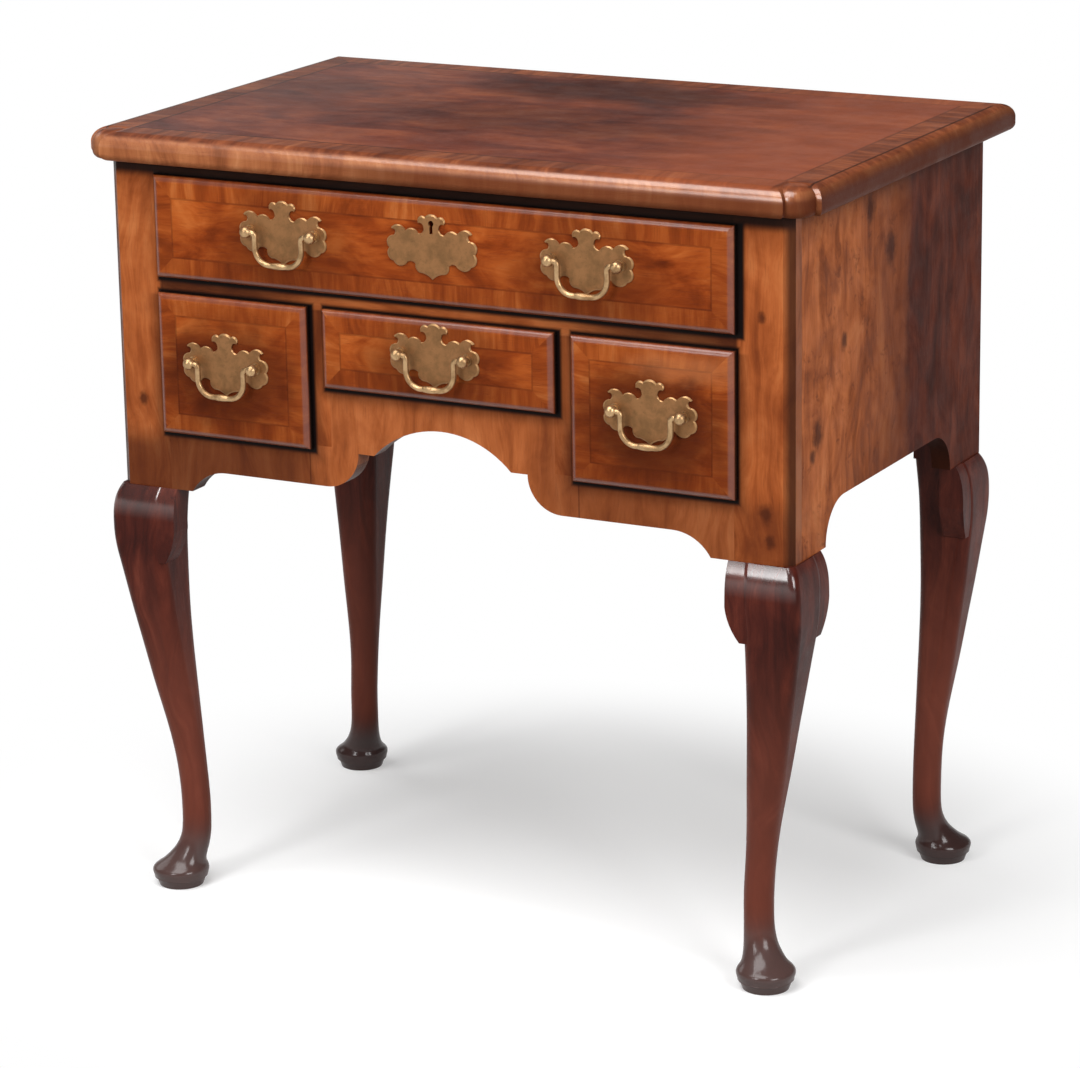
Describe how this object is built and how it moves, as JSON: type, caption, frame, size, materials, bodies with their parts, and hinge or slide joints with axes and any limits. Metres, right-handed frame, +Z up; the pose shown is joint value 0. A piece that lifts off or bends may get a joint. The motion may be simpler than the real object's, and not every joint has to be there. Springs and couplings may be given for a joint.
{
  "type": "lowboy",
  "caption": "Walnut lowboy dressing table with a shaped apron, cabriole legs on pad feet, lipped drawers and scalloped brass bail handles.",
  "frame": {"origin": "on the floor, under the middle of the object's bounding box", "axes": "+X to the right seen from the front, +Y from the front to the back, +Z up"},
  "size_m": [0.712, 0.4609, 0.712],
  "materials": {
    "walnut_top": "polished figured walnut, dark red-brown",
    "walnut_case": "polished walnut, orange-brown",
    "walnut_drawer": "polished figured walnut with crossbanding",
    "walnut_leg": "polished dark walnut",
    "oak": "dry, unpolished oak",
    "brass": "aged brass",
    "iron": "dark wrought iron"
  },
  "bodies": {
    "case": {"apron": "walnut_case", "back_board": "oak", "back_knee_ears": "walnut_leg", "back_left_leg": "walnut_leg", "back_nails": "iron", "back_right_leg": "walnut_leg", "centre_drawer_runners": "oak", "drawer_kickers": "oak", "drawer_partitions": "oak", "front_knee_ears": "walnut_leg", "front_left_leg": "walnut_leg", "front_right_leg": "walnut_leg", "glue_blocks": "oak", "left_divider": "walnut_case", "left_side": "walnut_case", "left_stile": "walnut_case", "middle_rail": "walnut_case", "right_divider": "walnut_case", "right_side": "walnut_case", "right_stile": "walnut_case", "side_drawer_runners": "oak", "top_board": "walnut_top", "top_drawer_runners": "oak", "top_rail": "walnut_case"},
    "top_drawer": {"escutcheon": "brass", "lock_case": "iron", "top_drawer_back": "oak", "top_drawer_bottom": "oak", "top_drawer_front": "walnut_drawer", "top_drawer_left_side": "oak", "top_drawer_plates": "brass", "top_drawer_posts": "brass", "top_drawer_right_side": "oak"},
    "left_drawer": {"left_drawer_back": "oak", "left_drawer_bottom": "oak", "left_drawer_front": "walnut_drawer", "left_drawer_left_side": "oak", "left_drawer_plates": "brass", "left_drawer_posts": "brass", "left_drawer_right_side": "oak"},
    "centre_drawer": {"centre_drawer_back": "oak", "centre_drawer_bottom": "oak", "centre_drawer_front": "walnut_drawer", "centre_drawer_left_side": "oak", "centre_drawer_plates": "brass", "centre_drawer_posts": "brass", "centre_drawer_right_side": "oak"},
    "right_drawer": {"right_drawer_back": "oak", "right_drawer_bottom": "oak", "right_drawer_front": "walnut_drawer", "right_drawer_left_side": "oak", "right_drawer_plates": "brass", "right_drawer_posts": "brass", "right_drawer_right_side": "oak"},
    "centre_bail": {"centre_bail": "brass"},
    "left_bail": {"left_bail": "brass"},
    "lock_bolt": {"lock_bolt": "iron"},
    "right_bail": {"right_bail": "brass"},
    "top_left_bail": {"top_left_bail": "brass"},
    "top_right_bail": {"top_right_bail": "brass"}
  },
  "joints": [
    {"name": "top_drawer_slide", "type": "slide", "parent": "case", "child": "top_drawer", "axis": [0, -1, 0], "range_m": [0, 0.3]},
    {"name": "left_drawer_slide", "type": "slide", "parent": "case", "child": "left_drawer", "axis": [0, -1, 0], "range_m": [0, 0.3]},
    {"name": "centre_drawer_slide", "type": "slide", "parent": "case", "child": "centre_drawer", "axis": [0, -1, 0], "range_m": [0, 0.3]},
    {"name": "right_drawer_slide", "type": "slide", "parent": "case", "child": "right_drawer", "axis": [0, -1, 0], "range_m": [0, 0.3]},
    {"name": "top_left_bail_swing", "type": "hinge", "parent": "top_drawer", "child": "top_left_bail", "pos_m": [-0.1485, -0.22495, 0.6355], "axis": [-1, 0, 0], "range_deg": [-6, 186]},
    {"name": "top_right_bail_swing", "type": "hinge", "parent": "top_drawer", "child": "top_right_bail", "pos_m": [0.1485, -0.22495, 0.6355], "axis": [-1, 0, 0], "range_deg": [-6, 186]},
    {"name": "left_bail_swing", "type": "hinge", "parent": "left_drawer", "child": "left_bail", "pos_m": [-0.2125, -0.22495, 0.51125], "axis": [-1, 0, 0], "range_deg": [-6, 186]},
    {"name": "centre_bail_swing", "type": "hinge", "parent": "centre_drawer", "child": "centre_bail", "pos_m": [0, -0.22495, 0.54], "axis": [-1, 0, 0], "range_deg": [-6, 186]},
    {"name": "right_bail_swing", "type": "hinge", "parent": "right_drawer", "child": "right_bail", "pos_m": [0.2065, -0.22495, 0.51125], "axis": [-1, 0, 0], "range_deg": [-6, 186]},
    {"name": "lock_bolt_shoot", "type": "slide", "parent": "top_drawer", "child": "lock_bolt", "axis": [0, 0, 1], "range_m": [0, 0.009]}
  ]
}
